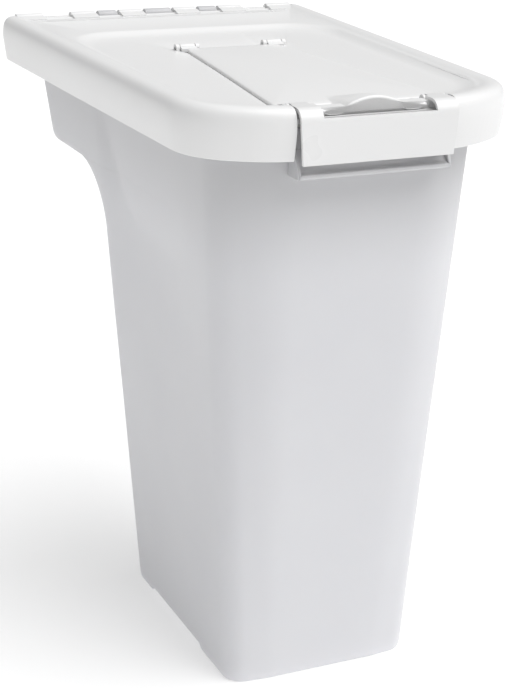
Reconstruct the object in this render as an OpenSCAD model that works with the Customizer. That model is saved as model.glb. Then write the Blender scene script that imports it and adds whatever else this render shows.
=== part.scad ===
// Tall tapered storage bin with a hinged lid, a pour flap and a front latch.
// Front (latch side) faces -Y, the hinge row runs along the back edge. Millimetres.

/* [Lid] */
// Height of the lid's rim above the floor
rim_z = 471.3; // [420:0.1:540]
// Length of the lid from front to back
lid_l = 432; // [400:1:470]
// Width of the lid at its hinge end
lid_back_w = 290; // [280:1:310]
// Width of the lid at its latch end
lid_front_w = 262; // [250:1:280]
// How far the front corners fall back behind the flat front
lid_bow = 33; // [26:1:36]
// Radius of the front corners
lid_corner_r = 56; // [40:1:56]
// Radius of the back corners
lid_back_r = 13; // [6:1:16]
// Height of the lid's skirt
skirt_h = 37; // [30:0.5:42]
// Draft of the skirt: how far its lower edge pulls in
skirt_in = 3; // [0:0.5:5]
// Wall of the lid
lid_wall = 2.4; // [1.8:0.1:3.2]
// Depth of the recessed panel below the rim
recess_d = 10.3; // [9.5:0.1:13]
// Width of the rim from the lid's edge to the recess
rim_w = 19; // [16:0.5:22]
// Length of the flat deck between the hinge end and the recess
deck_l = 96; // [80:1:110]

/* [Body] */
// Width of the base
base_w = 159; // [140:1:175]
// Length of the base
base_l = 210; // [180:1:230]
// How far the base stands back from the lid's front
base_set = 50; // [40:1:60]
// Width of the body under the skirt, at the latch end
neck_front_w = 212; // [195:1:216]
// Width of the body under the skirt, at the hinge end
neck_back_w = 236; // [220:1:240]
// Wall of the body
body_wall = 2.2; // [1.8:0.1:3]
// Thickness of the bin's floor
floor_t = 3; // [2:0.1:4]
// Height of the feet under the floor
foot_h = 6; // [4:0.5:9]
// Height of the hand hold's underside above the floor
hold_z = 372; // [350:1:390]
// Radius of the sweep from the back wall into the hand hold
hold_r = 55; // [40:1:60]
// How far the back wall leans back on its way up to the hand hold
back_lean = 20; // [10:1:30]
// Height of the upright rim on top of the body
lip_h = 18; // [14:0.5:20]

/* [Hinge] */
// Radius of the knuckles
knuckle_r = 5.5; // [5:0.1:6]
// Radius of the hinge rod
rod_r = 2.5; // [2:0.1:3]
// Half the width of the middle knuckle
knuckle_mid = 12.5; // [11:0.5:13]
// Gap between neighbouring knuckles
knuckle_gap = 2.5; // [1:0.1:3]

/* [Flap] */
// Width of the pour flap at its hinge
flap_back_w = 98; // [90:1:104]
// Width of the pour flap at its front corners
flap_front_w = 132; // [120:1:136]
// Length of the pour flap from its hinge axis to its front corners
flap_l = 230; // [200:1:230]
// Thickness of the flap's plate
flap_t = 2.4; // [2:0.1:3]
// Height of the thumb arch above the flap
arch_h = 8; // [6:0.5:9]
// Width of the thumb arch
arch_w = 48; // [40:1:52]
// Radius of the flap's barrels
flap_barrel_r = 3.5; // [3.2:0.1:4]
// Radius of the flap's and the latch's pins
pin_r = 1.5; // [1.2:0.1:1.8]

/* [Latch] */
// Width of the latch plate
latch_w = 122; // [110:1:126]
// Width of the window in the latch
window_w = 88; // [80:1:90]
// How far the latch stands proud of the lid's front
latch_proud = 3; // [2:0.5:4]
// Wall of the latch
latch_t = 2.4; // [2:0.1:3]
// Gap between the latch and the sides of its notch
latch_gap = 1.3; // [0.8:0.1:2]
// Thickness of the catch ledge on the body
ledge_t = 3.5; // [3:0.1:5]

/* [Fits] */
// Radial clearance of every pin and rod in its bore
pin_play = 0.05; // [0.02:0.01:0.1]
// Side clearance between moving pieces
side_play = 0.5; // [0.3:0.1:1]

/* [Hidden] */
arc_n = 7;             // steps in each rounded corner
slice = 0.02;          // thickness of the slices that a hull joins
far = 400;             // longer than any cut needs

// Places along Y
front_y = (latch_proud - lid_l) / 2;
back_y = front_y + lid_l;
hinge_y = back_y - knuckle_r - 2;
deck_back = hinge_y - knuckle_r - 1.5;
latch_axis_y = front_y + 21;
flap_front = latch_axis_y + 7;
flap_axis_y = flap_front + flap_l;
base_front = front_y + base_set;
base_back = base_front + base_l;

// Places along Z
skirt_z = rim_z - skirt_h;
hinge_z = rim_z - 4.3;
pan_z = rim_z - recess_d;
lip_z = rim_z - 15.3;
shoulder_z = lip_z - lip_h;
channel_z = lip_z + 3.5;
bridge_z = channel_z + 3.5;
flap_z = pan_z + 4;
flap_axis_z = flap_z + flap_t - 0.4;
barrel_r = 3.8;         // radius of the latch's barrels
latch_axis_z = bridge_z + barrel_r + 0.4;
latch_top = latch_axis_z + barrel_r;
window_z = latch_top - 7;
ledge_z = skirt_z - 9.3;

// The upright rim of the body stands inside the skirt
lip_front = front_y + 11.5;
lip_back = hinge_y - 13;
lip_front_w = lid_front_w - 25;
lip_back_w = lid_back_w - 32;
neck_front = lip_front + 4.5;
neck_back = lip_back + 1;
hold_back = neck_back - 14;

// Latch and its notch
notch_w = latch_w + 2 * latch_gap;
latch_out = front_y - latch_proud;
barrel_in = window_w / 2 + 2.5;
barrel_out = latch_w / 2 - 1.5;
catch_y = lip_front - 3;
barb_half = 40;         // half the length of the latch's barb
barb_gap = 3.2;         // how far the barb stays in front of the strike rib
latch_bend = 10;        // radius of the latch's shoulder

// Ears of the flap's hinge: the middle of each and its thickness
ear_t = 3;
flap_ears = [30, 47];
flap_barrel = [flap_ears[0] + ear_t / 2 + side_play, flap_ears[1] - ear_t / 2 - side_play];

// Points of an arc of radius r that rounds the corner at p, between its neighbours a and b
function corner(a, p, b, r) =
    let (u = (a - p) / norm(a - p),
         v = (b - p) / norm(b - p),
         half = acos(max(-1, min(1, u * v))) / 2,
         m = (u + v) / norm(u + v),
         c = p + m * r / sin(half),
         s = p + u * r / tan(half) - c,
         turn = (u[1] * v[0] - u[0] * v[1] > 0 ? 1 : -1) * (180 - 2 * half))
    [for (i = [0 : arc_n]) let (k = turn * i / arc_n)
        c + [s[0] * cos(k) - s[1] * sin(k), s[0] * sin(k) + s[1] * cos(k)]];

// A polygon's points with every corner rounded by its own radius
function rounded(p, r) =
    let (n = len(p))
    [for (i = [0 : n - 1]) each corner(p[(i + n - 1) % n], p[i], p[(i + 1) % n], r[i])];

// The plan of lid and body alike: flat in the middle of the front, bowed back to its corners
function plan(f, b, fw, bw, bow, flat, rf, rm, rb) =
    rounded([[-fw / 2, f + bow], [-flat, f], [flat, f], [fw / 2, f + bow], [bw / 2, b], [-bw / 2, b]],
            [rf, rm, rm, rf, rb, rb]);

function lid_plan(i) = plan(front_y + i, back_y - i, lid_front_w - 2 * i, lid_back_w - 2 * i,
                            lid_bow, 76, lid_corner_r - i, 98, max(1, lid_back_r - i));
function lip_plan(i) = plan(lip_front + i, lip_back - i, lip_front_w - 2 * i, lip_back_w - 2 * i,
                            lid_bow - 1, 70, 50 - i, 60, 14 - min(i, 10));
function recess_plan(i) =
    let (w = lid_front_w / 2 - rim_w - i, b = back_y - deck_l - i, f = front_y + 26.5 + i)
    rounded([[-w, f], [w, f], [w + 7, b], [-w - 7, b]], [48, 48, 42, 42]);
function flap_plan(i) =
    let (f = flap_front + i, b = flap_axis_y - flap_barrel_r - 0.8 - i,
         w = flap_front_w / 2 - i, wb = flap_back_w / 2 - i)
    rounded([[-w, f], [w, f], [wb + 3, f + 0.6 * flap_l], [wb, b], [-wb, b], [-wb - 3, f + 0.6 * flap_l]],
            [5, 5, 200, 6, 6, 200]);

// The back of the body from the floor up to its neck, seen from the side, moved inward by i:
// a leaning wall, a concave sweep, the underside of the hand hold and the wall above it
hold_c = [base_back + back_lean + hold_r, hold_z - hold_r];
function back_line(i) = concat(
    [for (z = [foot_h + i, 60, 120, 180, 240]) [base_back + back_lean * z / hold_c[1] - i, z]],
    [for (k = [0 : 8]) let (a = 180 - 84 * k / 8) hold_c + (hold_r + i) * [cos(a), sin(a)]],
    [[hold_back - 14, hold_z + i], [hold_back - 4 - i / 2, hold_z + 1.5 + i],
     [hold_back - i, hold_z + 8 + i / 2]],
    [[neck_back - i, shoulder_z - 3 + i]]);

// The plan of the body at height z with its back at y = b, moved inward by i.
// The sides spread evenly towards the back, so a longer section is wider at its end.
function body_plan(z, b, i) =
    let (t = z / shoulder_z,
         f = base_front + (neck_front - base_front) * t + i,
         fw = base_w + (neck_front_w - base_w) * t,
         spread = 5 + (neck_back_w - neck_front_w - 5) * t)
    plan(f, b, fw - 2 * i, fw + spread * (b - f) / (neck_back - f) - 2 * i,
         3 + 27 * t, 45 + 25 * t, 16 + 26 * t - i, 60, 16 - i);

// A closed skin through a list of sections, each one a height and a ring of points
module loft(rings) {
    n = len(rings[0][1]);
    k = len(rings);
    polyhedron(
        points = [for (s = rings) for (p = s[1]) [p[0], p[1], s[0]]],
        faces = concat(
            [[for (j = [0 : n - 1]) j]],
            [for (s = [0 : k - 2]) for (j = [0 : n - 1])
                each [[s * n + j, (s + 1) * n + j, (s + 1) * n + (j + 1) % n],
                      [s * n + j, (s + 1) * n + (j + 1) % n, s * n + (j + 1) % n]]],
            [[for (j = [n - 1 : -1 : 0]) (k - 1) * n + j]]),
        convexity = 8);
}

// A prism of a list of plan points between two heights
module prism(points, z0, z1) {
    translate([0, 0, z0])
        linear_extrude(z1 - z0)
            polygon(points);
}

// A wall that follows a plan
module ring(outer, inner, z0, z1) {
    difference() {
        prism(outer, z0, z1);
        prism(inner, z0 - 1, z1 + 1);
    }
}

// A side profile given as [y, z] points, run along X from x0 to x1
module side_profile(points, x0, x1) {
    translate([x0, 0, 0])
        rotate([90, 0, 90])
            linear_extrude(x1 - x0)
                polygon(points);
}

// A round bar along X
module bar(r, x0, x1, y, z) {
    translate([x0, y, z])
        rotate([0, 90, 0])
            cylinder(r = r, h = x1 - x0, $fn = 48);
}

// A box from its two opposite corners
module block(a, b) {
    translate(a)
        cube(b - a);
}

// Knuckles of the lid hinge on one side, from the middle out: [from, to, belongs to the lid]
k1 = knuckle_mid + knuckle_gap;
k2 = k1 + 22 + knuckle_gap;
k3 = k2 + 17 + knuckle_gap;
rod_end = lid_back_w / 2 - lid_back_r - 0.5;
lid_knuckles = [[k1, k1 + 22], [k3, k3 + 23], [rod_end - 24, rod_end]];
body_knuckles = [[k2, k2 + 17]];

module body_knuckle(x0, x1) {
    bar(knuckle_r, x0, x1, hinge_y, hinge_z);
    side_profile([[lip_back - 1, shoulder_z + 2], [lip_back - 1, lip_z - 4], [hinge_y - 4.6, hinge_z - 2.5],
                  [hinge_y + 4, hinge_z - 3.5], [hinge_y - 3, hinge_z - 15]], x0, x1);
}

module bin_shell() {
    outer = back_line(0);
    inner = back_line(body_wall);
    n = len(inner);
    floor_z = foot_h + floor_t;
    loft(concat(
        [[foot_h, body_plan(foot_h, base_back - 6, 6)], [0, body_plan(0, base_back - 5, 5)],
         [0, body_plan(0, base_back - 2, 2)], [2, body_plan(2, base_back - 0.5, 0.5)]],
        [for (p = outer) [p[1], body_plan(p[1], p[0], 0)]],
        [[shoulder_z, lip_plan(0)], [lip_z, lip_plan(0)],
         [lip_z, lip_plan(body_wall)], [shoulder_z + body_wall, lip_plan(body_wall)]],
        [for (i = [n - 1 : -1 : 1]) [inner[i][1], body_plan(inner[i][1], inner[i][0], body_wall)]],
        [[floor_z + 4, body_plan(floor_z + 4, base_back - body_wall, body_wall)],
         [floor_z, body_plan(floor_z, base_back - body_wall - 4, body_wall + 4)]]));
}

// Ledge below the latch, its two end gussets and the strike rib above it
module latch_catch() {
    half = latch_w / 2 - 2;
    wall_y = neck_front + 2;
    tip = latch_out + 3.7;
    block([-half, tip, ledge_z - ledge_t], [half, wall_y, ledge_z]);
    for (side = [-1, 1])
        side_profile([[wall_y, ledge_z - ledge_t], [tip + 0.5, ledge_z - ledge_t], [tip + 0.5, ledge_z],
                      [tip + 5, ledge_z + 8], [lip_front - 1, shoulder_z + 3], [wall_y, shoulder_z + 3]],
                     side * half - 1, side * half + 1);
    block([-half + 6, catch_y, shoulder_z + 2], [half - 6, lip_front + 1, shoulder_z + 5]);
}

module bin_body() {
    color([0.88, 0.88, 0.9, 0.75])
        difference() {
            union() {
                bin_shell();
                latch_catch();
                body_knuckle(-knuckle_mid, knuckle_mid);
                for (k = body_knuckles) {
                    body_knuckle(k[0], k[1]);
                    body_knuckle(-k[1], -k[0]);
                }
            }
            bar(rod_r + pin_play, -far, far, hinge_y, hinge_z);
            // the side edges of the base are lifted between the front and back feet
            side_profile([[base_front + 60, -1], [base_front + 66, foot_h - 0.1],
                          [base_back - 44, foot_h - 0.1], [base_back - 38, -1]], -far, far);
        }
}

// The outside of the lid: skirt, rounded shoulder and flat rim
module lid_form(i, top) {
    hull() {
        prism(lid_plan(skirt_in + i), skirt_z - (i > 0 ? 1 : 0), skirt_z + slice);
        prism(lid_plan(i), rim_z - 18, rim_z - 18 + slice);
        prism(lid_plan(1.5 + i), rim_z - 6, rim_z - 6 + slice);
        prism(lid_plan(6.5 + i), rim_z - top - slice, rim_z - top);
    }
}

// The recess with its sloping wall, from height z up to height top
module recess_form(i, z, top) {
    hull() {
        prism(recess_plan(9 + i), z, z + slice);
        prism(recess_plan(i), top - 1, top);
    }
}

module lid_knuckle(x0, x1) {
    bar(knuckle_r, x0, x1, hinge_y, hinge_z);
    block([x0, deck_back - 3, rim_z - lid_wall], [x1, hinge_y - 2, rim_z]);
}

// Walls that close the hollow rim on both sides of the latch's notch
module notch_cheeks() {
    for (side = [-1, 1])
        translate([side * (notch_w + lid_wall) / 2, front_y + 15, (channel_z + rim_z) / 2])
            cube([lid_wall, 32, rim_z - channel_z], center = true);
}

// Walls that stand around the front end of the flap
module flap_pocket() {
    intersection() {
        prism(flap_plan(-lid_wall - side_play), pan_z - lid_wall, rim_z - 3);
        block([-far, front_y, 0], [far, flap_front + 16, far]);
    }
}

// One ear of a pin joint that stands on the lid
module ear(x0, x1, y, z, r, foot_z) {
    bar(r, x0, x1, y, z);
    block([x0, y - r, foot_z - 1], [x1, y + r, z]);
}

module lid() {
    bore_r = pin_r + pin_play;
    hn = notch_w / 2;
    color([0.96, 0.96, 0.96])
        difference() {
            union() {
                difference() {
                    union() {
                        difference() {
                            lid_form(0, 0);
                            lid_form(lid_wall, lid_wall);
                        }
                        // channel for the seal
                        difference() {
                            ring(lip_plan(-0.5), lip_plan(8.5), channel_z, rim_z - lid_wall);
                            ring(lip_plan(1.5), lip_plan(6.5), channel_z + 2, rim_z);
                        }
                        recess_form(-lid_wall, pan_z - lid_wall, rim_z);
                        flap_pocket();
                        block([-hn, front_y + 5, channel_z], [hn, flap_front + 6, bridge_z]);
                        intersection() {
                            lid_form(0, 0);
                            notch_cheeks();
                        }
                    }
                    recess_form(0, pan_z, rim_z + 0.5);
                    prism(flap_plan(-side_play), pan_z, rim_z + 1);
                    // notch for the latch, and the open back between the skirt's ends
                    block([-hn, front_y - far, bridge_z], [hn, flap_front + 1, rim_z + 1]);
                    block([-hn, front_y - far, skirt_z - 5], [hn, front_y + 5, rim_z + 1]);
                    block([-hn, front_y - far, skirt_z - 5], [hn, front_y + 8, channel_z]);
                    block([-rod_end - 0.6, deck_back, skirt_z - 5], [rod_end + 0.6, back_y + far, rim_z + 1]);
                }
                ring(flap_plan(4), flap_plan(6), pan_z - 1, flap_z - 0.5);
                for (k = lid_knuckles) {
                    lid_knuckle(k[0], k[1]);
                    lid_knuckle(-k[1], -k[0]);
                }
                for (side = [-1, 1]) {
                    for (x = side * flap_ears)
                        ear(x - ear_t / 2, x + ear_t / 2, flap_axis_y, flap_axis_z, flap_barrel_r, pan_z);
                    for (x = [side * (barrel_in - side_play - 1), side * (barrel_out + side_play + 1)])
                        ear(x - 1, x + 1, latch_axis_y, latch_axis_z, barrel_r - 0.2, bridge_z);
                }
                // tongue under the thumb arch
                intersection() {
                    block([-arch_w / 2, front_y + 9, bridge_z - 1], [arch_w / 2, front_y + 18, rim_z]);
                    translate([0, 0, bridge_z + 6 - 38])
                        rotate([-90, 0, 0])
                            translate([0, 0, -far])
                                cylinder(r = 38, h = far, $fn = 96);
                }
            }
            bar(rod_r + pin_play, -far, far, hinge_y, hinge_z);
            bar(bore_r, -far, far, flap_axis_y, flap_axis_z);
            bar(bore_r, -hn - 1, hn + 1, latch_axis_y, latch_axis_z);
            prism(flap_plan(6), pan_z - lid_wall - 1, rim_z);
        }
}

module hinge_rod() {
    color([0.93, 0.93, 0.93])
        bar(rod_r, -rod_end, rod_end, hinge_y, hinge_z);
}

// The flap: a shallow cap over the lid's pour opening, with a lip and a thumb arch in front
module pour_flap() {
    lip_w = window_w - 5;
    lip_front_y = front_y + 8.5;
    arch_r = (pow(arch_w / 2, 2) + pow(arch_h, 2)) / (2 * arch_h);
    top = flap_z + flap_t;
    color([0.97, 0.97, 0.97])
        difference() {
            union() {
                difference() {
                    prism(flap_plan(0), pan_z + 0.5, top);
                    prism(flap_plan(2), pan_z, flap_z);
                }
                block([-lip_w / 2, lip_front_y, flap_z], [lip_w / 2, flap_front + 4, top]);
                intersection() {
                    block([-arch_w / 2, lip_front_y, flap_z], [arch_w / 2, flap_front + 2, rim_z + 20]);
                    translate([0, lip_front_y - 1, top + arch_h - arch_r])
                        rotate([-90, 0, 0])
                            cylinder(r = arch_r, h = 60, $fn = 96);
                }
                for (side = [-1, 1]) {
                    x0 = side > 0 ? flap_barrel[0] : -flap_barrel[1];
                    x1 = x0 + flap_barrel[1] - flap_barrel[0];
                    bar(flap_barrel_r, x0, x1, flap_axis_y, flap_axis_z);
                    block([x0, flap_axis_y - 6, flap_z], [x1, flap_axis_y - 1, top]);
                }
            }
            // hollow under the thumb arch
            intersection() {
                block([-arch_w / 2 + 2, lip_front_y - 1, flap_z - 1], [arch_w / 2 - 2, flap_front - 1, rim_z + 20]);
                translate([0, lip_front_y - 1, top + arch_h - arch_r])
                    rotate([-90, 0, 0])
                        cylinder(r = arch_r - flap_t, h = 60, $fn = 96);
            }
            bar(pin_r + pin_play, -far, far, flap_axis_y, flap_axis_z);
        }
}

module pin_pair_piece(x0, x1, y, z) {
    color([0.9, 0.9, 0.9])
        bar(pin_r, x0, x1, y, z);
}

module flap_pin_left() {
    pin_pair_piece(-flap_ears[1] - ear_t / 2, -flap_ears[0] + ear_t / 2, flap_axis_y, flap_axis_z);
}

module flap_pin_right() {
    pin_pair_piece(flap_ears[0] - ear_t / 2, flap_ears[1] + ear_t / 2, flap_axis_y, flap_axis_z);
}

// The latch's side profile: barrel arm, rounded shoulder and front plate
function latch_line(i) = concat(
    [[latch_axis_y, latch_top - i]],
    [for (k = [0 : 6]) let (a = 90 + 90 * k / 6)
        [latch_out + latch_bend, latch_top - latch_bend] + (latch_bend - i) * [cos(a), sin(a)]],
    [[latch_out + i, skirt_z - 2]]);

module latch() {
    line = concat(latch_line(0), [for (k = [len(latch_line(latch_t)) - 1 : -1 : 0]) latch_line(latch_t)[k]]);
    half = latch_w / 2;
    color([0.97, 0.97, 0.97])
        difference() {
            union() {
                intersection() {
                    side_profile(line, -half, half);
                    // sides draw in towards the lower edge
                    translate([0, far / 2, 0])
                        rotate([90, 0, 0])
                            linear_extrude(3 * far / 2)
                                polygon([[-half + 2.5, skirt_z - 2], [half - 2.5, skirt_z - 2],
                                         [half, latch_top - 8], [half, latch_top + 1],
                                         [-half, latch_top + 1], [-half, latch_top - 8]]);
                }
                for (side = [-1, 1]) {
                    x0 = side > 0 ? barrel_in : -barrel_out;
                    bar(barrel_r, x0, x0 + barrel_out - barrel_in, latch_axis_y, latch_axis_z);
                }
                // barb that snaps past the strike rib
                side_profile([[latch_out + 1, shoulder_z - 3], [catch_y - barb_gap - 0.5, shoulder_z - 3],
                              [catch_y - barb_gap, shoulder_z - 1.5], [latch_out + 1, shoulder_z + 4]],
                             -barb_half, barb_half);
            }
            // window between the arms
            block([-window_w / 2, latch_out + latch_t + 0.4, latch_top - 30],
                  [window_w / 2, latch_axis_y + 10, window_z]);
            block([-window_w / 2, latch_out - 1, window_z],
                  [window_w / 2, latch_axis_y + 10, latch_top + 1]);
            bar(pin_r + pin_play, -far, far, latch_axis_y, latch_axis_z);
            // the arms clear the ears at both ends of the barrels
            for (side = [-1, 1])
                for (x = side * [barrel_in - side_play - 1, barrel_out + side_play + 1])
                    block([x - 1 - side_play, latch_axis_y - 5, bridge_z],
                          [x + 1 + side_play, latch_axis_y + 5, latch_top + 1]);
        }
}

module latch_pin_left() {
    pin_pair_piece(-notch_w / 2 - 0.8, -barrel_in + side_play + 2, latch_axis_y, latch_axis_z);
}

module latch_pin_right() {
    pin_pair_piece(barrel_in - side_play - 2, notch_w / 2 + 0.8, latch_axis_y, latch_axis_z);
}

module lid_seal() {
    color([0.8, 0.8, 0.78])
        ring(lip_plan(0.5), lip_plan(7.5), lip_z + 0.3, channel_z);
}

bin_body();
lid();
hinge_rod();
pour_flap();
flap_pin_left();
flap_pin_right();
latch();
latch_pin_left();
latch_pin_right();
lid_seal();
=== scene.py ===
import math

import bmesh
import bpy
from mathutils import Matrix, Vector


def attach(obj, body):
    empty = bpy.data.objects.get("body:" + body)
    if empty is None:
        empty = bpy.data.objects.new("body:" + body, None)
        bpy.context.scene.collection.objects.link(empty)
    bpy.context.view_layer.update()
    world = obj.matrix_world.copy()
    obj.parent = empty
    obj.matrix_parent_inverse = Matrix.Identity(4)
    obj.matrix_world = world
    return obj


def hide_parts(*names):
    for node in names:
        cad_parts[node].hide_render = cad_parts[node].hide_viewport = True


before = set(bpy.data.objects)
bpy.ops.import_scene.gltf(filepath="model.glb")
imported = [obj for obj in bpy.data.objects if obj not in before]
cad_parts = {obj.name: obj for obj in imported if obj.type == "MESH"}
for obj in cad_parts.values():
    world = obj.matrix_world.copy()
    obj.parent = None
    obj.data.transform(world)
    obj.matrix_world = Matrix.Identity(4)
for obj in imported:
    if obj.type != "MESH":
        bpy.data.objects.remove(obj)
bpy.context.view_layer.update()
mm = 0.001  # every size below is in millimetres
roundSteps = 40  # points around a barrel


def makePiece(name, points, faces):
    mesh = bpy.data.meshes.new(name)
    mesh.from_pydata([Vector(p) * mm for p in points], [], faces)
    piece = bpy.data.objects.new(name, mesh)
    bpy.context.scene.collection.objects.link(piece)
    tidyNormals(piece)
    return piece


def tidyNormals(piece):
    work = bmesh.new()
    work.from_mesh(piece.data)
    bmesh.ops.remove_doubles(work, verts=work.verts, dist=0.00001)
    bmesh.ops.dissolve_degenerate(work, edges=work.edges, dist=0.000005)
    bmesh.ops.recalc_face_normals(work, faces=work.faces)
    work.to_mesh(piece.data)
    work.free()


def applyModifiers(piece):
    graph = bpy.context.evaluated_depsgraph_get()
    mesh = bpy.data.meshes.new_from_object(piece.evaluated_get(graph))
    piece.modifiers.clear()
    piece.data = mesh


def triangulate(piece):
    work = bmesh.new()
    work.from_mesh(piece.data)
    bmesh.ops.triangulate(work, faces=work.faces)
    work.to_mesh(piece.data)
    work.free()


def joinPieces(piece, others):
    # one mesh of several closed shells
    work = bmesh.new()
    work.from_mesh(piece.data)
    for other in others:
        work.from_mesh(other.data)
        bpy.data.objects.remove(other)
    work.to_mesh(piece.data)
    work.free()


def carve(piece, others, operation):
    # joins the others to the piece, or cuts them out of it
    for item in [piece] + others:
        triangulate(item)
    group = bpy.data.collections.new(piece.name + "Tools")
    for other in others:
        group.objects.link(other)
    change = piece.modifiers.new("change", "BOOLEAN")
    change.operation = operation
    change.solver = "EXACT"
    change.operand_type = "COLLECTION"
    change.collection = group
    applyModifiers(piece)
    for other in others:
        bpy.data.objects.remove(other)
    bpy.data.collections.remove(group)
    print(piece.name, operation, len(piece.data.polygons), "faces")


def roundEdges(piece, width, segments=3, angle=40):
    soft = piece.modifiers.new("soft", "BEVEL")
    soft.width = width * mm
    soft.segments = segments
    soft.limit_method = "ANGLE"
    soft.angle_limit = math.radians(angle)
    soft.use_clamp_overlap = True
    soft.harden_normals = False
    applyModifiers(piece)


def weighNormals(piece):
    # large flat faces keep their own direction right up to their rounded edges
    weigh = piece.modifiers.new("weigh", "WEIGHTED_NORMAL")
    weigh.keep_sharp = True
    weigh.weight = 80
    applyModifiers(piece)


def shadeByAngle(piece, degrees=32):
    # smooth faces with a hard line only where the surface really turns
    work = bmesh.new()
    work.from_mesh(piece.data)
    for face in work.faces:
        face.smooth = True
    for edge in work.edges:
        if len(edge.link_faces) == 2:
            edge.smooth = edge.calc_face_angle(0) < math.radians(degrees)
    work.to_mesh(piece.data)
    work.free()


def skin(rings, closed=False, caps=True):
    # points and faces of a surface through rings that all have as many points
    count = len(rings[0])
    points = [p for ring in rings for p in ring]
    faces = []
    total = len(rings)
    for i in range(total if closed else total - 1):
        a, b = i * count, ((i + 1) % total) * count
        for j in range(count):
            k = (j + 1) % count
            faces.append((a + j, a + k, b + k, b + j))
    if caps and not closed:
        faces.append(tuple(range(count)))
        faces.append(tuple((total - 1) * count + j for j in range(count)))
    return points, faces


def box(name, low, high):
    corners = [(x, y, z) for x in (low[0], high[0]) for y in (low[1], high[1]) for z in (low[2], high[2])]
    faces = [(0, 1, 3, 2), (4, 6, 7, 5), (0, 4, 5, 1), (2, 3, 7, 6), (0, 2, 6, 4), (1, 5, 7, 3)]
    return makePiece(name, corners, faces)


def sideProfile(name, outline, x0, x1):
    # a side outline of (y, z) points run along X
    return makePiece(name, *skin([[(x, y, z) for y, z in outline] for x in (x0, x1)]))


def turned(name, stations, y, z, closed=False):
    # rings of (x, radius) stations about a line along X
    turns = [2 * math.pi * k / roundSteps for k in range(roundSteps)]
    rings = [[(x, y + r * math.cos(a), z + r * math.sin(a)) for a in turns] for x, r in stations]
    return makePiece(name, *skin(rings, closed=closed))


def softEnds(radius, x0, x1, soft):
    start = [(x0, radius - soft), (x0 + soft * 0.3, radius - soft * 0.3), (x0 + soft, radius)]
    end = [(x1 - soft, radius), (x1 - soft * 0.3, radius - soft * 0.3), (x1, radius - soft)]
    return start + end


def barAlongX(name, radius, x0, x1, y, z, soft):
    return turned(name, softEnds(radius, x0, x1, soft), y, z)


def tubeAlongX(name, radius, bore, x0, x1, y, z, soft=0.6):
    # a barrel with a bore and softened rims
    return turned(name, [(x0, bore)] + softEnds(radius, x0, x1, soft) + [(x1, bore)], y, z, closed=True)


def smoothStep(value, low, high):
    t = max(0, min(1, (value - low) / (high - low)))
    return t * t * (3 - 2 * t)


def between(low, high, t):
    return low + (high - low) * t


def roundCorner(a, p, b, radius, steps):
    u, v = (Vector(a) - Vector(p)).normalized(), (Vector(b) - Vector(p)).normalized()
    half = math.acos(max(-1, min(1, u.dot(v)))) / 2
    middle = (u + v).normalized()
    centre = Vector(p) + middle * radius / math.sin(half)
    start = Vector(p) + u * radius / math.tan(half) - centre
    turn = math.copysign(math.pi - 2 * half, u.y * v.x - u.x * v.y)
    arc = []
    for i in range(steps + 1):
        c, n = math.cos(turn * i / steps), math.sin(turn * i / steps)
        arc.append((centre.x + start.x * c - start.y * n, centre.y + start.x * n + start.y * c))
    return arc


def sideStops(startY, endY, fixedY=62, near=30, beyond=10):
    # the same places along Y at every height, up to where the hand hold begins
    t = max(0.1, min(0.9, (fixedY - startY) / (endY - startY)))
    first, second = (near, beyond) if endY > startY else (beyond, near)
    return [t * k / first for k in range(1, first + 1)] + [t + (1 - t) * k / second for k in range(1, second)]


def roundedPlan(points, radii, splits, steps=10):
    count = len(points)
    corners = [roundCorner(points[i - 1], points[i], points[(i + 1) % count], radii[i], steps)
               for i in range(count)]
    outline = []
    for i in range(count):
        outline += corners[i]
        start, end = Vector(corners[i][-1]), Vector(corners[(i + 1) % count][0])
        if splits[i] == "side":
            outline += [tuple(start.lerp(end, t)) for t in sideStops(start.y, end.y)]
        else:
            outline += [tuple(start.lerp(end, k / splits[i])) for k in range(1, splits[i])]
    return outline


def bowedPlan(front, back, frontWidth, backWidth, bow, flat, radii, splits=(3, 6, 3, 30, 10, 30), steps=10):
    halfFront, halfBack = frontWidth / 2, backWidth / 2
    return roundedPlan([(-halfFront, front + bow), (-flat, front), (flat, front), (halfFront, front + bow),
                        (halfBack, back), (-halfBack, back)], radii, splits, steps)


def insetPlan(s, inset, cornerBack, splits=(3, 6, 3, 30, 10, 30)):
    # a bowed outline drawn in by the same amount all round
    cornerFront = s["cornerFront"] - inset
    return bowedPlan(s["front"] + inset, s["back"] - inset, s["frontWidth"] - 2 * inset,
                     s["backWidth"] - 2 * inset, s["bow"], s["flat"],
                     [cornerFront, s["bend"], s["bend"], cornerFront, cornerBack, cornerBack], splits)


def reach(outline, angle, centre):
    # how far the outline lies from the centre in one direction
    dx, dy = math.cos(angle), math.sin(angle)
    best = 0
    for i, (ax, ay) in enumerate(outline):
        bx, by = outline[(i + 1) % len(outline)]
        ex, ey = bx - ax, by - ay
        cross = dx * ey - dy * ex
        if abs(cross) < 1e-12:
            continue
        px, py = ax - centre[0], ay - centre[1]
        along, part = (px * ey - py * ex) / cross, (px * dy - py * dx) / cross
        if along > 0 and -1e-6 <= part <= 1 + 1e-6:
            best = max(best, along)
    return best


def fanAngles(outline, centre, extra=180):
    angles = [math.atan2(y - centre[1], x - centre[0]) for x, y in outline]
    angles += [2 * math.pi * k / extra - math.pi for k in range(extra)]
    kept = []
    for angle in sorted(angles):
        if not kept or angle - kept[-1] > 0.004:
            kept.append(angle)
    return kept


def ringAt(radii, angles, centre, z):
    return [(centre[0] + r * math.cos(a), centre[1] + r * math.sin(a), z) for r, a in zip(radii, angles)]


def linear(hexText):
    # sRGB hex to the linear colour that a shader takes
    parts = [int(hexText[i:i + 2], 16) / 255 for i in (1, 3, 5)]
    return tuple(c / 12.92 if c <= 0.04045 else ((c + 0.055) / 1.055) ** 2.4 for c in parts) + (1,)


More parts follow.
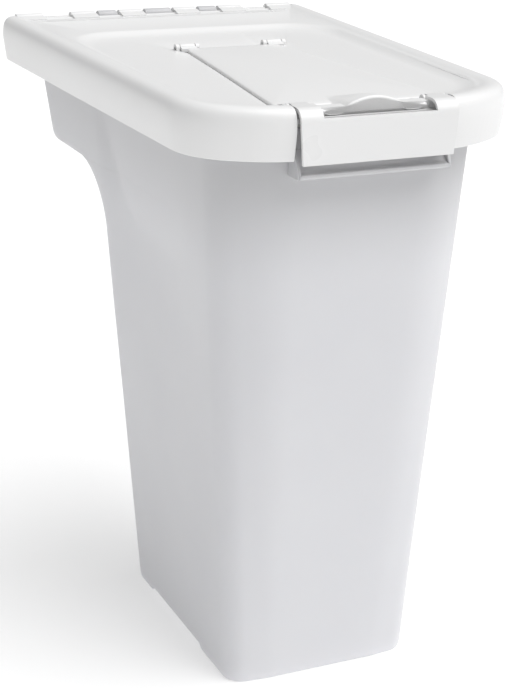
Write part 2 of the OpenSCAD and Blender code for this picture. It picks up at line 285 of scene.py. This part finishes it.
def addNode(tree, kind, settings=None, links=()):
    node = tree.nodes.new(kind)
    for key, value in (settings or {}).items():
        if key in node.inputs:
            node.inputs[key].default_value = value
        else:
            setattr(node, key, value)
    for target, source in links:
        tree.links.new(source, node.inputs[target])
    return node


def mouldedPlastic(name, look):
    # colour drifts over centimetres, gloss over millimetres, and the mould's fine grain lifts the surface;
    # where asked, painted shade darkens the colour towards the top
    material = bpy.data.materials.new(name)
    material.use_nodes = True
    tree = material.node_tree
    tree.nodes.clear()
    place = addNode(tree, "ShaderNodeTexCoord").outputs["Object"]
    drift = addNode(tree, "ShaderNodeTexNoise", {"Scale": 1000 / look["driftMm"], "Detail": 2},
                    [("Vector", place)])
    colour = addNode(tree, "ShaderNodeMix", {"data_type": "RGBA"})
    colour.inputs[6].default_value = linear(look["colour"])
    colour.inputs[7].default_value = linear(look["drift"])
    tree.links.new(drift.outputs["Fac"], colour.inputs[0])
    shade = colour.outputs[2]
    # painted shade: the colour darkens over a band of heights towards the top, standing in for the shade that
    # falls under the lid
    if "paintedShadeColour" in look:
        height = addNode(tree, "ShaderNodeSeparateXYZ", {}, [("Vector", place)])
        paintedShadeRamp = addNode(tree, "ShaderNodeMapRange", {"interpolation_type": "SMOOTHSTEP",
                       "From Min": look["paintedShadeFrom"] * mm, "From Max": look["paintedShadeTo"] * mm},
                       [("Value", height.outputs["Z"])])
        top = addNode(tree, "ShaderNodeMix", {"data_type": "RGBA"})
        top.inputs[7].default_value = linear(look["paintedShadeColour"])
        tree.links.new(paintedShadeRamp.outputs["Result"], top.inputs[0])
        tree.links.new(shade, top.inputs[6])
        shade = top.outputs[2]
    grain = addNode(tree, "ShaderNodeTexNoise", {"Scale": 1000 / look["grainMm"], "Detail": 3},
                    [("Vector", place)])
    gloss = addNode(tree, "ShaderNodeMapRange",
                    {"To Min": look["roughness"] - 0.03, "To Max": look["roughness"] + 0.05},
                    [("Value", drift.outputs["Fac"])])
    bump = addNode(tree, "ShaderNodeBump",
                   {"Strength": look["grainStrength"], "Distance": look["grainDepth"] * mm},
                   [("Height", grain.outputs["Fac"])])
    shader = addNode(tree, "ShaderNodeBsdfPrincipled",
                     {"IOR": 1.49, "Subsurface Weight": look["subsurface"],
                      "Subsurface Scale": look["depthMm"] * mm, "Subsurface Radius": (1.0, 0.95, 0.9),
                      "Transmission Weight": look.get("transmission", 0)},
                     [("Base Color", shade), ("Roughness", gloss.outputs["Result"]),
                      ("Normal", bump.outputs["Normal"])])
    addNode(tree, "ShaderNodeOutputMaterial", {}, [("Surface", shader.outputs["BSDF"])])
    return material


# natural polypropylene, injection moulded: milky, with a soft sheen and a cool cast, and painted shade that
# darkens it towards the top, under the lid's skirt
bodyPlastic = mouldedPlastic("naturalPolypropyleneMoulded", {
    "colour": "#EEEEF1", "drift": "#E9E9ED", "paintedShadeColour": "#D2D2D4", "paintedShadeFrom": 330, "paintedShadeTo": 432,
    "driftMm": 70, "grainMm": 1.6, "grainDepth": 0.05, "grainStrength": 0.12, "roughness": 0.4,
    "subsurface": 0.35, "depthMm": 6, "transmission": 0.12})
# white polypropylene, injection moulded: opaque, with a soft gloss
lidPlastic = mouldedPlastic("whitePolypropyleneMoulded", {
    "colour": "#EEEEEE", "drift": "#EBEBEB", "driftMm": 90, "grainMm": 1.4, "grainDepth": 0.04,
    "grainStrength": 0.1, "roughness": 0.32, "subsurface": 0.12, "depthMm": 2})
# the same plastic in the flap: a shade lighter than the lid round it
flapPlastic = mouldedPlastic("whitePolypropyleneMouldedFlap", {
    "colour": "#EFEFEF", "drift": "#ECECEC", "driftMm": 90, "grainMm": 1.4, "grainDepth": 0.04,
    "grainStrength": 0.1, "roughness": 0.34, "subsurface": 0.12, "depthMm": 2})
# the same plastic in the latch, from a smoother mould: a little glossier
latchPlastic = mouldedPlastic("whitePolypropyleneMouldedLatch", {
    "colour": "#EBEBEB", "drift": "#E9E9E9", "driftMm": 60, "grainMm": 1.4, "grainDepth": 0.03,
    "grainStrength": 0.08, "roughness": 0.28, "subsurface": 0.12, "depthMm": 2})
# acetal rod and pins, extruded: a little glossier than the mouldings
rodPlastic = mouldedPlastic("whiteAcetalExtruded", {
    "colour": "#DEDEDE", "drift": "#DADADA", "driftMm": 30, "grainMm": 0.9, "grainDepth": 0.02,
    "grainStrength": 0.08, "roughness": 0.24, "subsurface": 0.1, "depthMm": 1})
# thermoplastic rubber strip, extruded: matt and a touch darker
sealRubber = mouldedPlastic("paleThermoplasticRubberExtruded", {
    "colour": "#CFCFCB", "drift": "#C8C8C4", "driftMm": 25, "grainMm": 1.0, "grainDepth": 0.06,
    "grainStrength": 0.2, "roughness": 0.7, "subsurface": 0.1, "depthMm": 1})
print("materials made")


def finishPiece(piece, body, slotName, material, *nodes):
    piece.data.materials.clear()
    piece.data.materials.append(material)
    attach(piece, body)
    if nodes:
        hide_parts(*nodes)



# the body's upright lip, which the lid's channel follows
lipSize = {"front": -203, "back": 197, "frontWidth": 237, "backWidth": 258, "bow": 32, "flat": 70, "bend": 60,
           "cornerFront": 50, "cornerBack": 14, "softBackMost": 10}


def lipPlan(inset, splits=(3, 6, 3, 30, 10, 30)):
    return insetPlan(lipSize, inset, lipSize["cornerBack"] - min(inset, lipSize["softBackMost"]), splits)


hingeSize = {"y": 210, "z": 467, "radius": 5.5, "bore": 2.55, "middle": 12.5,
             "lidKnuckles": [(15, 37), (59, 82), (107.5, 131.5)], "bodyKnuckles": [(39.5, 56.5)]}


def mirrored(spans):
    return [pair for a, b in spans for pair in ((a, b), (-b, -a))]


def knuckles(spans, web):
    # hinge barrels, each with a web that ties it to its piece
    s = hingeSize
    parts = []
    for a, b in spans:
        parts.append(tubeAlongX("knuckle", s["radius"], s["bore"], a, b, s["y"], s["z"]))
        parts.append(sideProfile("web", web, a + 0.01, b - 0.01))
    return parts


binSize = {
    "baseFront": -164.5, "baseBack": 45.5, "baseWidth": 159, "baseSpread": 5, "neckFront": -198.5,
    "neckBack": 198, "neckFrontWidth": 212, "neckBackWidth": 236, "shoulder": 438, "lip": 456, "wall": 2.2,
    "foot": 6, "floor": 9, "baseCorner": 16, "neckCorner": 42, "backCorner": 16, "baseBow": 3, "neckBow": 30,
    "baseFlat": 45, "neckFlat": 70, "bend": 60, "holdUnder": 372, "holdRadius": 55, "lean": 20,
    "lipSoft": 0.7,
    "ledge": 425, "ledgeThick": 3.5, "ledgeRoot": -196.5, "ledgeTip": -213.8, "ledgeHalf": 59,
    "strikeRib": ((-53, -206, 440), (53, -202, 443)),
}
# the soft fold in each side wall, which sweeps up towards the hand hold
foldSize = {"depth": 5.5, "height": 329, "lift": 12, "liftFrom": -75, "liftTo": -2, "sweepFrom": -20,
            "sweepHeight": 333, "sweep": 0.0165, "start": -150, "full": -60, "fade": 25, "end": 62,
            "leastUp": 20, "down": 150, "sideFrom": 50, "sideTo": 76}
# the side edges of the base stand clear of the floor between the feet
archSize = {"height": 5.9, "middleY": -48.5, "half": 50, "ramp": 6}
sideSplits = (3, 8, 3, "side", 10, "side")


def bodyPlan(z, back, inset):
    s = binSize
    t = z / s["shoulder"]
    front = between(s["baseFront"], s["neckFront"], t) + inset
    width = between(s["baseWidth"], s["neckFrontWidth"], t)
    spread = between(s["baseSpread"], s["neckBackWidth"] - s["neckFrontWidth"], t)
    corner = between(s["baseCorner"], s["neckCorner"], t) - inset
    cornerBack = s["backCorner"] - inset
    outline = bowedPlan(front, back, width - 2 * inset,
                        width + spread * (back - front) / (s["neckBack"] - front) - 2 * inset,
                        between(s["baseBow"], s["neckBow"], t), between(s["baseFlat"], s["neckFlat"], t),
                        [corner, s["bend"], s["bend"], corner, cornerBack, cornerBack], sideSplits)
    return [creased(x, y, z) for x, y in outline]


def creased(x, y, z):
    s = foldSize
    if y < s["sweepFrom"]:
        line = s["height"] + s["lift"] * smoothStep(y, s["liftFrom"], s["liftTo"])
    else:
        line = s["sweepHeight"] + s["sweep"] * (y - s["sweepFrom"]) ** 2
    strength = smoothStep(y, s["start"], s["full"]) * (1 - smoothStep(y, s["fade"], s["end"]))
    if z > line:
        near = max(0, 1 - (z - line) / max(s["leastUp"], binSize["shoulder"] - line))
    else:
        near = max(0, 1 - (line - z) / s["down"])
    sideways = smoothStep(abs(x), s["sideFrom"], s["sideTo"])
    a = archSize
    rise = a["height"] * min(1, max(0, 1 - (abs(y - a["middleY"]) - a["half"]) / a["ramp"]))
    return (x - math.copysign(s["depth"] * near * strength * sideways, x), y, max(z, rise))


def backLine(inset):
    s = binSize
    holdY, holdZ = s["baseBack"] + s["lean"] + s["holdRadius"], s["holdUnder"] - s["holdRadius"]
    holdBack = s["neckBack"] - 14
    line = [(s["baseBack"] + s["lean"] * z / holdZ - inset, z)
            for z in [s["foot"] + inset] + [12 + 7.5 * k for k in range(40)]]
    for k in range(25):
        angle = math.radians(180 - 84 * k / 24)
        line.append((holdY + (s["holdRadius"] + inset) * math.cos(angle),
                     holdZ + (s["holdRadius"] + inset) * math.sin(angle)))
    under = s["holdUnder"] + inset
    line += [(holdBack - 34, under + 0.05), (holdBack - 14, under + 0.1), (holdBack - 8, under + 0.5),
             (holdBack - 4 - inset / 2, under + 1.8), (holdBack - 1.5 - inset * 0.8, under + 4),
             (holdBack - inset, under + 8 - inset / 2)]
    last = line[-1]
    end = (s["neckBack"] - inset, s["shoulder"] - 3 + inset)
    line += [(last[0] + (end[0] - last[0]) * k / 9, last[1] + (end[1] - last[1]) * k / 9)
             for k in range(1, 10)]
    return line


def lipRing(inset, z):
    return [(x, y, z) for x, y in lipPlan(inset, sideSplits)]


def catchLedge():
    # the ledge under the latch, closed at both ends, and the rib that the latch's barb stands in front of
    s = binSize
    root, tip, half, top = s["ledgeRoot"], s["ledgeTip"], s["ledgeHalf"], s["ledge"]
    nose = s["ledgeThick"] / 2
    line = [(root, top - s["ledgeThick"])] + [
        (tip + nose + nose * math.cos(math.radians(a)), top - nose + nose * math.sin(math.radians(a)))
        for a in range(270, 89, -15)] + [
        (-209.8, top + 0.9), (-207.2, top + 4.2), (-205.2, top + 9.5), (-203.4, 441), (root, 441)]
    parts = [sideProfile("ledge", line, -half, half)]
    end = [(root, top - s["ledgeThick"]), (tip + 0.8, top - s["ledgeThick"]), (tip + 0.8, top),
           (tip + 2.5, top + 4), (tip + 6, top + 9), (-204, 441), (root, 441)]
    for side in (-1, 1):
        parts.append(sideProfile("ledgeEnd", end, side * half - 1, side * half + 1))
    parts.append(box("strikeRib", *s["strikeRib"]))
    return parts


def makeBody():
    s = binSize
    base, shoulder, lip, wall, soft = s["baseBack"], s["shoulder"], s["lip"], s["wall"], s["lipSoft"]
    rings = [bodyPlan(z, base - inset, inset) for z, inset in
             ((s["foot"], 6), (0.4, 5.6), (0, 5), (0, 2), (0.6, 1), (2, 0.4))]
    rings += [bodyPlan(z, y, 0) for y, z in backLine(0)]
    rings += [lipRing(inset, z) for inset, z in
              ((0, shoulder), (0, shoulder + 0.6), (0, lip - soft), (soft, lip), (wall - soft, lip),
               (wall, lip - soft), (wall, shoulder + wall))]
    rings += [bodyPlan(z, y, wall) for y, z in backLine(wall)[:0:-1]]
    rings += [bodyPlan(s["floor"] + rise, base - wall - tuck, wall + tuck) for rise, tuck in
              ((4, 0), (1.2, 1.2), (0, 4))]
    body = makePiece("binBody", *skin(rings))
    spans = [(-hingeSize["middle"], hingeSize["middle"])] + mirrored(hingeSize["bodyKnuckles"])
    web = [(196, 440), (196, 452), (205.4, 464.5), (214, 463.5), (207, 452)]
    joinPieces(body, catchLedge() + knuckles(spans, web))
    shadeByAngle(body, 30)
    finishPiece(body, "bin", "body_plastic", bodyPlastic, "bin_body")


lidSize = {
    "front": -214.5, "back": 217.5, "frontWidth": 262, "backWidth": 290, "bow": 33, "flat": 76, "bend": 98,
    "cornerFront": 56, "cornerBack": 13, "middle": (0, -70), "rimTop": 471.3, "skirtBottom": 434.3,
    "panTop": 461.0, "panHigh": 465.6, "panThick": 2.4, "deckDrop": 2.0, "hingeDip": 1.6, "deckBack": 203,
    "openBack": 132.1, "notchHalf": 62.3, "notchBack": -185.5, "bridgeTop": 463.0, "channelBottom": 459.5,
}
recessSize = {"front": -188, "back": 121.5, "half": 112, "flare": 7, "cornerFront": 48, "cornerBack": 42}


def lidPlan(inset):
    return insetPlan(lidSize, inset, max(1, lidSize["cornerBack"] - inset))


def recessPlan(inset):
    s = recessSize
    half, front, back = s["half"] - inset, s["front"] + inset, s["back"] - inset
    return roundedPlan([(-half, front), (half, front), (half + s["flare"], back), (-half - s["flare"], back)],
                       [s["cornerFront"], s["cornerFront"], s["cornerBack"], s["cornerBack"]], (8, 8, 8, 8))


def lidBridge():
    # the bar across the latch's notch, and a cheek at each end of it
    half = lidSize["notchHalf"]
    low, high = lidSize["channelBottom"], lidSize["bridgeTop"]
    parts = [box("bridge", (-half - 1.5, -208, low), (half + 1.5, -187.3, high))]
    cheek = [(-211.4, 452), (-212.0, 462), (-210.8, 466.6), (-208.2, 469.2), (-204, 470.4), (-192, 470.6),
             (-186, 469), (-183.5, 461.5), (-183.5, 459.6), (-207, 459.6), (-208.8, 452)]
    for side in (-1, 1):
        middle = side * (half + 1.2)
        parts.append(sideProfile("cheek", cheek, middle - 1.2, middle + 1.2))
    return parts


def sealChannel():
    # two ribs round the underside, with the seal between them
    low = lidSize["channelBottom"]
    profile = ((-0.5, 468.6), (-0.5, low + 0.4), (-0.1, low), (1.1, low), (1.5, low + 0.4), (1.5, 461.5),
               (6.5, 461.5), (6.5, low + 0.4), (6.9, low), (8.1, low), (8.5, low + 0.4), (8.5, 468.6))
    rings = [[(x, y, z) for x, y in lipPlan(inset)] for inset, z in profile]
    return makePiece("channel", *skin(rings, closed=True))


def ear(name, s, x):
    # a rounded ear on a flat foot, round one of the small hinges
    y, z, radius = s["axisY"], s["axisZ"], s["earRadius"]
    outline = [(y + radius * math.cos(math.radians(a)), z + radius * math.sin(math.radians(a)))
               for a in range(0, 181, 15)] + [(y - radius, s["earFoot"]), (y + radius, s["earFoot"])]
    return sideProfile(name, outline, x - s["earHalf"], x + s["earHalf"])


def lidEars():
    parts = []
    for side in (-1, 1):
        parts += [ear("flapEar", flapSize, side * x) for x in flapSize["ears"]]
        parts += [ear("latchEar", latchSize, side * x) for x in latchSize["ears"]]
    return parts


def lidTongue():
    # the low hump seen through the latch's window
    half, steps, crown, fall, foot = 24, 12, 468.6, 6, 461.5
    rings = []
    for y, drop in ((-201.5, 0.9), (-200.9, 0.2), (-200, 0), (-195.5, 0), (-194.6, 0.2), (-194, 0.9)):
        top = [(half * k / steps, y, crown - drop - fall * (k / steps) ** 2)
               for k in range(-steps, steps + 1)]
        rings.append(top + [(half, y, foot), (-half, y, foot)])
    return makePiece("tongue", *skin(rings))


def makeLid():
    s = lidSize
    centre = s["middle"]
    angles = fanAngles(lidPlan(0), centre)
    rimTop, pan, high, deck = s["rimTop"], s["panTop"], s["panHigh"], s["rimTop"] - s["deckDrop"]

    def radiiOf(plan, inset):
        outline = plan(inset)
        return [reach(outline, a, centre) for a in angles]

    def pocketRadii(inset):
        # the flap's outline with room for its barrels
        radii = []
        for r, a in zip(radiiOf(flapPlan, inset), angles):
            if math.sin(a) > 0.3 and 26.5 < abs((45 - centre[1]) / math.tan(a)) < 50.5:
                r = max(r, (48.5 - inset - centre[1]) / math.sin(a))
            radii.append(r)
        return radii

    pocket = pocketRadii(-2.6)
    limit = radiiOf(lidPlan, 18)

    def wallRing(inset, z, out):
        # the recess, kept clear of the flap's pocket and of the rim
        radii = [max(min(r, m - out), p + out) for r, p, m in zip(radiiOf(recessPlan, inset), pocket, limit)]
        return ringAt(radii, angles, centre, z)

    def lidRing(inset, z):
        # the rim dips a little in front of the hinge row
        dip = s["hingeDip"] if inset > 3 and z > 468 else 0
        return [(x, y, h - dip * smoothStep(y, 182, 200) * (1 - smoothStep(abs(x), 116, 130)))
                for x, y, h in ringAt(radiiOf(lidPlan, inset), angles, centre, z)]

    # from the lip round the pour opening, up over the pan, the recess wall and the rim
    rings = [ringAt(radiiOf(flapPlan, inset), angles, centre, pan + rise) for inset, rise in
             ((6, 0), (6, 3.1), (5.7, 3.4), (4.3, 3.4), (4, 3.1), (4, 0.5), (3.5, 0))]
    rings += [ringAt(pocketRadii(inset), angles, centre, z) for inset, z in
              ((-0.9, pan), (-1.0, high - 0.8), (-1.25, high - 0.2), (-1.9, high))]
    rings += [wallRing(inset, high + rise, out) for inset, rise, out in
              ((13, 0, 0), (10.2, 0.1, 0.1), (8, 0.5, 0.2), (6, 1.1, 0.3), (4, 1.9, 0.4), (2.6, 2.6, 0.5),
               (1.4, 3.1, 0.6))]
    rings += [wallRing(0, deck - 0.1, 0.8), wallRing(-1.4, deck, 1.0), lidRing(17.4, deck + 0.25)]
    rings += [lidRing(inset, rimTop - drop) for inset, drop in
              ((15.6, 0.9), (13.4, 0.3), (11, 0), (8.4, 0.05), (6.2, 0.5), (4.4, 1.4), (2.9, 2.8), (1.7, 4.6),
               (0.8, 7.2), (0.25, 11), (0, 16))]
    # down the skirt, round its edge, up its inside and back under the pan
    rings += [lidRing(inset, s["skirtBottom"] + rise) for inset, rise in
              ((1.2, 11.7), (2.7, 1.7), (2.9, 0.5), (3.4, 0.05), (4.3, 0), (5.0, 0.4), (5.2, 1.1),
               (3.5, 11.7))]
    rings += [lidRing(inset, z) for inset, z in
              ((2.4, 455), (2.8, 462), (4.2, 466), (7, 468.3), (11, 468.8), (16, 467.8))]
    rings += [wallRing(inset, z, out) for inset, z, out in
              ((-2.4, deck - 3.2, 1.9), (1, deck - 5, 1.8), (4.6, pan + 0.4, 1.7), (6.4, pan - 1.6, 1.6),
               (8.6, pan - s["panThick"], 1.2))]
    rings.append(ringAt(radiiOf(flapPlan, 6), angles, centre, pan - s["panThick"]))
    lid = makePiece("lidShell", *skin(rings, closed=True))

    half = s["notchHalf"]
    front, back, low, top = -260, 260, 420, 490  # clear of the lid on every side
    cutters = [box("cutTop", (-half, front, s["bridgeTop"]), (half, s["notchBack"], top)),
               box("cutSkirt", (-half, front, low), (half, -208, top)),
               box("cutUnder", (-half, front, low), (half, -206.5, s["channelBottom"])),
               box("cutBack", (-s["openBack"], s["deckBack"], low), (s["openBack"], back, top))]
    carve(lid, cutters, "DIFFERENCE")
    web = [(196, 467.2), (196, 469.4), (203, 471.0), (209, 471.0), (209, 467.2)]
    barrels = knuckles(mirrored(hingeSize["lidKnuckles"]), web)
    joinPieces(lid, lidBridge() + [sealChannel()] + barrels + lidEars() + [lidTongue()])
    shadeByAngle(lid, 32)
    finishPiece(lid, "lid", "lid_plastic", lidPlastic, "lid")


flapSize = {
    "front": -186.5, "back": 39.2, "half": 66, "halfBack": 41, "waistOut": 9, "waistUp": 138,
    "cornerFront": 5, "cornerBack": 9, "waistRadius": 200, "middle": (0, -74), "top": 467.4, "under": 465.0,
    "skirt": 461.6, "dome": 2.4, "archHalf": 27, "archHeight": 7.2, "dip": 2.2, "lipHalf": 41.5,
    "lipFront": -206, "lipBack": -150, "lipThick": 2.0, "lipLow": 463.2, "axisY": 43.5, "axisZ": 467,
    "barrel": 3.5, "bore": 1.55, "barrelSpan": (32, 45), "ears": (30, 47), "earRadius": 3.5, "earFoot": 460,
    "earHalf": 1.5,
}


def flapPlan(inset):
    s = flapSize
    front, back = s["front"] + inset, s["back"] - inset
    half, halfBack = s["half"] - inset, s["halfBack"] - inset
    waistX, waistY = halfBack + s["waistOut"], front + s["waistUp"]
    soft, softBack, waist = s["cornerFront"], s["cornerBack"], s["waistRadius"]
    return roundedPlan([(-half, front), (half, front), (waistX, waistY), (halfBack, back), (-halfBack, back),
                        (-waistX, waistY)], [soft, soft, waist, softBack, softBack, waist], (8,) * 6)


def archRise(x):
    # a round arch with a soft run-out on both sides
    s = flapSize
    t = abs(x) / s["archHalf"]
    rise = s["archHeight"] * math.cos(t * math.pi / 2) ** 1.1 if t < 1 else 0
    return rise - s["dip"] * smoothStep(abs(x), 17, 26) * (1 - smoothStep(abs(x), 34, 41))


def flapLip():
    # the front strip, with its thumb arch and a bead along its edge
    s = flapSize
    front, last = s["lipFront"], 80
    columns = [s["lipHalf"] * k / 40 for k in range(-40, 41)]
    rings = []
    for n, step in enumerate((0, 0.25, 0.8, 1.6, 2.4, 3.4, 5, 8, 12, 16, 20, 25, 30, 36, 42, 49, 56)):
        y = front + step
        fade = 1 - smoothStep(y, front + 6, front + 50)
        edge = (1.0, 0.45, 0.1)[n] if n < 3 else 0
        bead = 0.7 * math.exp(-((y - front - 1.6) / 1.5) ** 2)
        sink = 0.5 * smoothStep(y, front + 20, s["lipBack"])
        upper, lower = [], []
        for k, x in enumerate(columns):
            side = {0: 0.7, 1: 0.2, last - 1: 0.2, last: 0.7}.get(k, 0)
            height = s["top"] + archRise(x) * fade + bead - sink
            upper.append((x, y, height - edge - side))
            under = height - s["lipThick"] - bead * 0.6 + edge * 0.6 + side * 0.4
            lower.append((x, y, max(under, min(s["lipLow"], height - edge - side - 0.5))))
        rings.append(upper + lower[::-1])
    return makePiece("lip", *skin(rings))


def makeFlap():
    s = flapSize
    centre = s["middle"]
    angles = fanAngles(flapPlan(0), centre, 120)
    top, under, dome = s["top"], s["under"], s["dome"]

    def ring(inset, z, scale=1.0):
        outline = flapPlan(inset)
        return ringAt([reach(outline, a, centre) * scale for a in angles], angles, centre, z)

    rings = [ring(0, top + dome * part, scale) for scale, part in
             ((0.02, 1), (0.25, 0.96), (0.45, 0.84), (0.65, 0.62), (0.82, 0.36), (0.93, 0.16))]
    rings += [ring(inset, top + rise) for inset, rise in ((1.6, 0.1), (0.7, -0.15), (0.15, -0.7), (0, -1.4))]
    rings += [ring(inset, s["skirt"] + rise) for inset, rise in ((0, 0.5), (0.3, 0.05), (1.2, 0), (2, 0.4))]
    rings += [ring(2, under - 0.4), ring(2.4, under)]
    rings += [ring(0, under + dome * part, scale) for scale, part in
              ((0.82, 0.3), (0.6, 0.6), (0.3, 0.85), (0.02, 0.9))]
    flap = makePiece("pourFlap", *skin(rings))
    carve(flap, [flapLip()], "UNION")
    strap = [(36.5, 465), (40.5, 464.6), (40.5, 468.9), (36.5, 467.5)]
    barrels = []
    for side in (-1, 1):
        x0, x1 = sorted(side * x for x in s["barrelSpan"])
        barrels.append(tubeAlongX("barrel", s["barrel"], s["bore"], x0, x1, s["axisY"], s["axisZ"]))
        barrels.append(sideProfile("strap", strap, x0 + 0.01, x1 - 0.01))
    joinPieces(flap, barrels)
    shadeByAngle(flap, 34)
    finishPiece(flap, "flap", "flap_plastic", flapPlastic, "pour_flap")


latchSize = {
    "half": 61, "halfLow": 58.6, "out": -217.5, "top": 471.0, "bottom": 432.3, "bend": 10, "wall": 2.4,
    "axisY": -193.5, "axisZ": 467.2, "barrel": 3.8, "bore": 1.55, "barrelSpan": (46.5, 59.5),
    "windowHalf": 44, "windowFloor": 464.0, "windowLow": 441, "barbHalf": 40, "ears": (45, 61),
    "earRadius": 3.6, "earFoot": 462, "earHalf": 1, "slotHalf": 1.5, "edge": 0.8,
}


def latchOutline(inset):
    # over the top from the hinge, round the bend and down the front
    s = latchSize
    radius = s["bend"] - inset
    points = [(s["axisY"], s["top"] - inset)]
    for k in range(19):
        angle = math.radians(90 + 90 * k / 18)
        points.append((s["out"] + s["bend"] + radius * math.cos(angle),
                       s["top"] - s["bend"] + radius * math.sin(angle)))
    return points + [(s["out"] + inset, s["bottom"])]


def makeLatch():
    s = latchSize
    outline = latchOutline(0) + latchOutline(s["wall"])[::-1]
    rings = [[(side * between(s["halfLow"], s["half"], smoothStep(z, s["bottom"], 462)), y, z)
              for y, z in outline] for side in (-1, 1)]
    latch = makePiece("latchPlate", *skin(rings))
    barb = [(-216.5, 435), (-209.7, 435), (-209.2, 436.5), (-216.5, 442)]
    carve(latch, [sideProfile("barb", barb, -s["barbHalf"], s["barbHalf"])], "UNION")
    w, floor, inner = s["windowHalf"], s["windowFloor"], s["out"] + s["wall"] + 0.4
    cutters = [box("windowTop", (-w, -219, floor), (w, -183, 475)),
               box("windowIn", (-w, inner, s["windowLow"]), (w, -183, floor + 0.5)),
               barAlongX("bore", s["bore"], -70, 70, s["axisY"], s["axisZ"], soft=0.01)]
    for side in (-1, 1):
        for x in s["ears"]:
            low, high = side * x - s["slotHalf"], side * x + s["slotHalf"]
            cutters.append(box("slot", (low, -198.5, 462), (high, -188, 476)))
    carve(latch, cutters, "DIFFERENCE")
    roundEdges(latch, s["edge"], 3, 45)
    tidyNormals(latch)
    barrels = []
    for side in (-1, 1):
        x0, x1 = sorted(side * x for x in s["barrelSpan"])
        barrels.append(tubeAlongX("barrel", s["barrel"], s["bore"], x0, x1, s["axisY"], s["axisZ"], soft=0.4))
    joinPieces(latch, barrels)
    shadeByAngle(latch, 38)
    weighNormals(latch)
    finishPiece(latch, "latch", "latch_plastic", latchPlastic, "latch")


makeBody()
print("bin body made")
makeLid()
print("lid made")
makeFlap()
print("flap made")
makeLatch()
print("latch made")

# the rod, pins and seal keep their CAD shapes
keptShapes = {"hinge_rod": rodPlastic, "flap_pin_left": rodPlastic, "flap_pin_right": rodPlastic,
              "latch_pin_left": rodPlastic, "latch_pin_right": rodPlastic, "lid_seal": sealRubber}
for nodeName, material in keptShapes.items():
    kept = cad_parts[nodeName]
    kept.data.materials.clear()
    kept.data.materials.append(material)

stageLook = {"floorSize": 24, "floorColour": "#D9D9D9", "floorRoughness": 0.9, "floorGlow": 0.4,
             "worldStrength": 0.32, "sunStrength": 2.75, "sunAngle": 60, "sunFrom": (0.33, -0.27, 0.90)}
floorMesh = bpy.data.meshes.new("studioFloor")
reachOut = stageLook["floorSize"] / 2
floorMesh.from_pydata([(-reachOut, -reachOut, 0), (reachOut, -reachOut, 0), (reachOut, reachOut, 0),
                       (-reachOut, reachOut, 0)], [], [(0, 1, 2, 3)])
floor = bpy.data.objects.new("studioFloor", floorMesh)
bpy.context.scene.collection.objects.link(floor)
# flat white paint, for a clean soft shadow
floorPaint = bpy.data.materials.new("mattWhitePaintedFloor")
floorPaint.use_nodes = True
paint = floorPaint.node_tree.nodes["Principled BSDF"]
paint.inputs["Base Color"].default_value = linear(stageLook["floorColour"])
paint.inputs["Roughness"].default_value = stageLook["floorRoughness"]
paint.inputs["Emission Color"].default_value = (1, 1, 1, 1)
paint.inputs["Emission Strength"].default_value = stageLook["floorGlow"]
floorMesh.materials.append(floorPaint)

world = bpy.data.worlds.new("studioWorld")
world.use_nodes = True
world.node_tree.nodes["Background"].inputs["Color"].default_value = (1, 1, 1, 1)
world.node_tree.nodes["Background"].inputs["Strength"].default_value = stageLook["worldStrength"]
bpy.context.scene.world = world

sunData = bpy.data.lights.new("softKey", "SUN")
sunData.energy = stageLook["sunStrength"]
sunData.angle = math.radians(stageLook["sunAngle"])
sun = bpy.data.objects.new("softKey", sunData)
sun.rotation_euler = Vector(stageLook["sunFrom"]).to_track_quat("Z", "Y").to_euler()
bpy.context.scene.collection.objects.link(sun)

cameraLook = {"azimuth": -24.43, "elevation": 20.85, "roll": 1.48, "distance": 1408.16, "sensorMm": 36,
              "lensMm": 85.52276, "target": (0, 1.5, 202.47), "shift": (0.01388, 0.02514), "clipEnd": 100}
turn, tilt, roll = (math.radians(cameraLook[k]) for k in ("azimuth", "elevation", "roll"))
towards = Vector((math.sin(turn) * math.cos(tilt), -math.cos(turn) * math.cos(tilt), math.sin(tilt)))
right = Vector((math.cos(turn), math.sin(turn), 0))
up = right.cross(-towards)
rolledRight = math.cos(roll) * right + math.sin(roll) * up
rolledUp = -math.sin(roll) * right + math.cos(roll) * up
cameraData = bpy.data.cameras.new("viewCamera")
cameraData.sensor_fit = "VERTICAL"
cameraData.sensor_height = cameraLook["sensorMm"]
cameraData.lens = cameraLook["lensMm"]
cameraData.shift_x, cameraData.shift_y = cameraLook["shift"]
cameraData.clip_end = cameraLook["clipEnd"]
camera = bpy.data.objects.new("viewCamera", cameraData)
spot = (Vector(cameraLook["target"]) + towards * cameraLook["distance"]) * mm
camera.matrix_world = Matrix.Translation(spot) @ Matrix((rolledRight, rolledUp,
                                                         towards)).transposed().to_4x4()
bpy.context.scene.collection.objects.link(camera)
bpy.context.scene.camera = camera
bpy.context.scene.view_settings.view_transform = "Standard"
print("stage, light and camera set")
